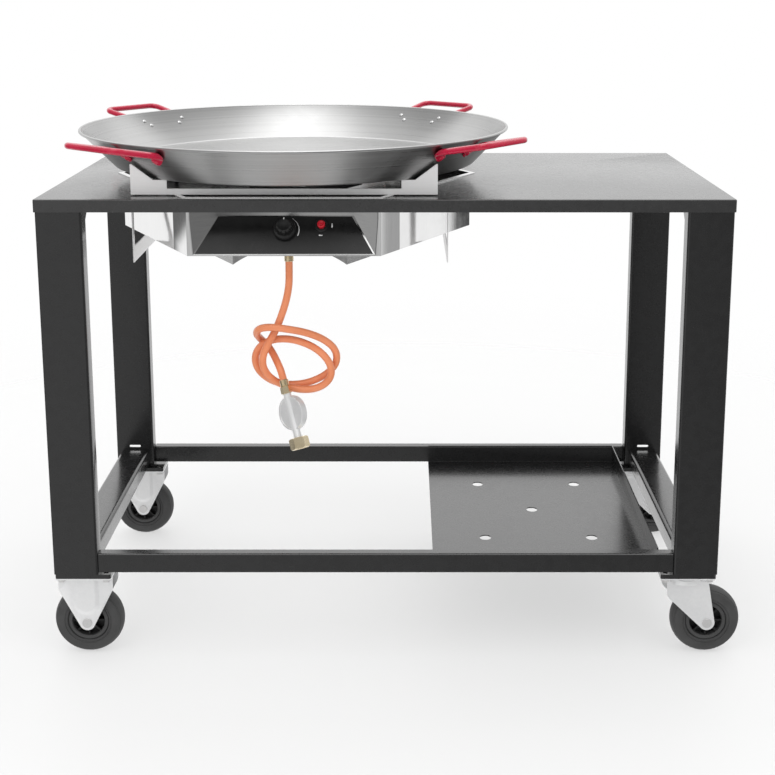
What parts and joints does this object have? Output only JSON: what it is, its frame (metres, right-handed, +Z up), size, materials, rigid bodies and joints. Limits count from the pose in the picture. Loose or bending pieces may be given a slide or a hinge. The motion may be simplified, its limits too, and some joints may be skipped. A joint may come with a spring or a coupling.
{
  "type": "gas paella burner table",
  "caption": "Wheeled steel worktable with a hexagonal gas burner set in its top, a wide handled pan on the burner, a looped gas hose with a regulator, and a low bottle tray.",
  "frame": {"origin": "on the floor under the middle of the standing object, its casters trailing to the right", "axes": "+X along the table to the right, +Y from the front with the control panel to the back, +Z up"},
  "size_m": [1.243, 0.828, 0.9415],
  "materials": {
    "black_coat": "satin black powder coat",
    "zinc_plate": "zinc plated pressings",
    "plain_steel": "bright plated fasteners",
    "wheel_plastic": "moulded black",
    "tyre_rubber": "matte rubber",
    "stainless": "bright stainless sheet",
    "burner_iron": "as cast, heat darkened",
    "brass": "turned brass",
    "red_coat": "gloss crimson coat",
    "panel_black": "gloss black coat",
    "knob_black": "moulded black",
    "igniter_black": "moulded black",
    "igniter_red": "gloss red",
    "ceramic": "glazed ceramic",
    "orange_hose": "smooth orange rubber",
    "zinc_casting": "die-cast, unpainted",
    "pan_steel": "polished steel sheet",
    "rivet_metal": "bright rivets"
  },
  "bodies": {
    "cart": {"table_top": "black_coat", "leg_front_left": "black_coat", "leg_front_right": "black_coat", "leg_back_left": "black_coat", "leg_back_right": "black_coat", "front_rail": "black_coat", "back_rail": "black_coat", "side_rail_left": "black_coat", "side_rail_right": "black_coat", "bottle_tray": "black_coat", "fixed_fork_front": "zinc_plate", "fixed_fork_back": "zinc_plate", "swivel_plate_front": "zinc_plate", "swivel_plate_back": "zinc_plate", "fixed_axles": "plain_steel", "caster_bolts": "plain_steel", "housing": "stainless", "panel_surround": "stainless", "lower_shroud": "stainless", "foot_left": "stainless", "foot_right": "stainless", "support_plate_front": "stainless", "support_plate_back": "stainless", "support_plate_left": "stainless", "support_plate_right": "stainless", "star_burner": "burner_iron", "venturi_tube": "burner_iron", "gas_valve": "brass", "thermocouple": "brass", "hose_connector": "brass", "hose_tail": "brass", "control_panel": "panel_black", "igniter_body": "igniter_black", "electrode": "ceramic", "gas_hose": "orange_hose", "regulator_body": "zinc_casting"},
    "valve_plug": {"valve_plug": "brass"},
    "knob": {"knob": "knob_black", "valve_spindle": "plain_steel"},
    "igniter_button": {"igniter_button": "igniter_red"},
    "pan": {"pan": "pan_steel", "handle_back_right": "red_coat", "handle_back_left": "red_coat", "handle_front_left": "red_coat", "handle_front_right": "red_coat", "pan_rivets": "rivet_metal"},
    "wheel_fl": {"wheel_hub_front_left": "wheel_plastic", "tyre_front_left": "tyre_rubber"},
    "wheel_bl": {"wheel_hub_back_left": "wheel_plastic", "tyre_back_left": "tyre_rubber"},
    "swivel_fr": {"swivel_fork_front": "zinc_plate", "swivel_axle_front": "plain_steel"},
    "swivel_br": {"swivel_fork_back": "zinc_plate", "swivel_axle_back": "plain_steel"},
    "wheel_fr": {"wheel_hub_front_right": "wheel_plastic", "tyre_front_right": "tyre_rubber"},
    "wheel_br": {"wheel_hub_back_right": "wheel_plastic", "tyre_back_right": "tyre_rubber"},
    "regulator_nut": {"regulator_nut": "brass"}
  },
  "joints": [
    {"name": "pan_lift", "type": "slide", "parent": "cart", "child": "pan", "axis": [0, 0, 1], "range_m": [0, 0.25]},
    {"name": "valve_turn", "type": "hinge", "parent": "cart", "child": "valve_plug", "pos_m": [-0.192, -0.26068, 0.77963], "axis": [0, -0.8433, 0.5375], "range_deg": [0, 210]},
    {"name": "knob_push", "type": "slide", "parent": "valve_plug", "child": "knob", "axis": [0, 0.8433, -0.5375], "range_m": [0, 0.004], "stiffness_N_per_m": 1500, "springref_m": -0.001},
    {"name": "igniter_push", "type": "slide", "parent": "cart", "child": "igniter_button", "axis": [0, 0.8433, -0.5375], "range_m": [0, 0.005], "stiffness_N_per_m": 1500, "springref_m": -0.001},
    {"name": "roll_front_left", "type": "hinge", "parent": "cart", "child": "wheel_fl", "pos_m": [-0.559, -0.258, 0.0625], "axis": [0, 1, 0], "continuous": true},
    {"name": "roll_back_left", "type": "hinge", "parent": "cart", "child": "wheel_bl", "pos_m": [-0.559, 0.258, 0.0625], "axis": [0, 1, 0], "continuous": true},
    {"name": "swivel_front_right", "type": "hinge", "parent": "cart", "child": "swivel_fr", "pos_m": [0.519, -0.258, 0.14], "axis": [0, 0, 1], "continuous": true},
    {"name": "swivel_back_right", "type": "hinge", "parent": "cart", "child": "swivel_br", "pos_m": [0.519, 0.258, 0.14], "axis": [0, 0, 1], "continuous": true},
    {"name": "roll_front_right", "type": "hinge", "parent": "swivel_fr", "child": "wheel_fr", "pos_m": [0.559, -0.258, 0.0625], "axis": [0, 1, 0], "continuous": true},
    {"name": "roll_back_right", "type": "hinge", "parent": "swivel_br", "child": "wheel_br", "pos_m": [0.559, 0.258, 0.0625], "axis": [0, 1, 0], "continuous": true},
    {"name": "union_turn", "type": "hinge", "parent": "cart", "child": "regulator_nut", "pos_m": [-0.17006, -0.29233, 0.40757], "axis": [0.2626, -0.3627, -0.8942], "continuous": true}
  ]
}
